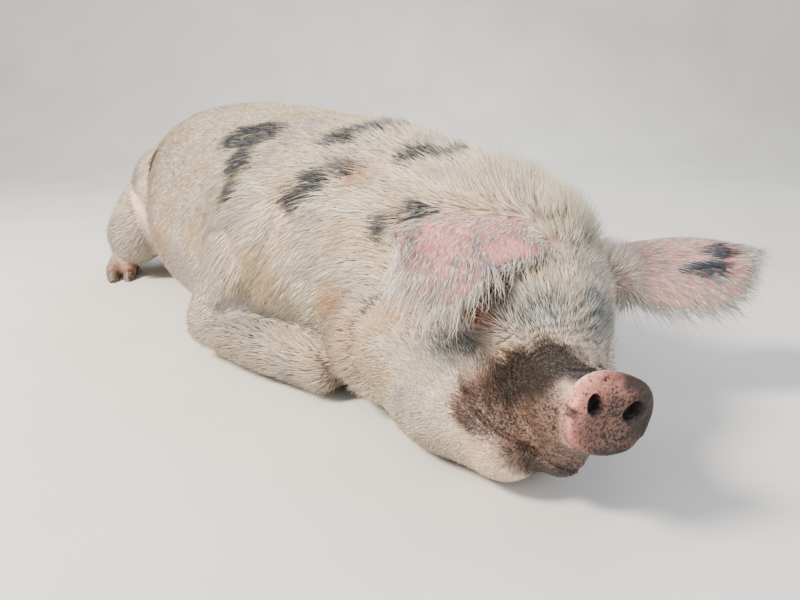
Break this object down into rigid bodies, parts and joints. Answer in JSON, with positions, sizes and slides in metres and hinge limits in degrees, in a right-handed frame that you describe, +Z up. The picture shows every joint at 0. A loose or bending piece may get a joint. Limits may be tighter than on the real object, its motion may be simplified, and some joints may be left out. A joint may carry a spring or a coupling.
{
  "type": "gloucestershire old spots pig",
  "caption": "Life-size still model of a Gloucestershire Old Spots sow at rest on her belly, chin on the floor and lop ears spread.",
  "frame": {"origin": "point of the belly's flat on the floor, under the middle of the barrel", "axes": "+X towards the snout along the trunk, +Y towards the sow's left side, +Z up"},
  "size_m": [1.6923, 0.8071, 0.4446],
  "materials": {
    "skin": "pale bristled skin with dark spots",
    "snout_skin": "bare moist skin",
    "claw": "dull horn",
    "eye": "wet gloss"
  },
  "bodies": {
    "root": {"torso": "skin", "neck": "skin", "head": "skin", "tail": "skin", "ear_right": "skin", "ear_left": "skin", "foreleg_right": "skin", "foreleg_left": "skin", "hindleg_right": "skin", "hindleg_left": "skin", "snout": "snout_skin", "claw_foreleg_right_a": "claw", "claw_foreleg_right_b": "claw", "dewclaw_foreleg_right_a": "claw", "dewclaw_foreleg_right_b": "claw", "claw_foreleg_left_a": "claw", "claw_foreleg_left_b": "claw", "dewclaw_foreleg_left_a": "claw", "dewclaw_foreleg_left_b": "claw", "claw_hindleg_right_a": "claw", "claw_hindleg_right_b": "claw", "dewclaw_hindleg_right_a": "claw", "dewclaw_hindleg_right_b": "claw", "claw_hindleg_left_a": "claw", "claw_hindleg_left_b": "claw", "dewclaw_hindleg_left_a": "claw", "dewclaw_hindleg_left_b": "claw", "eye_right": "eye", "eye_left": "eye"}
  },
  "joints": []
}
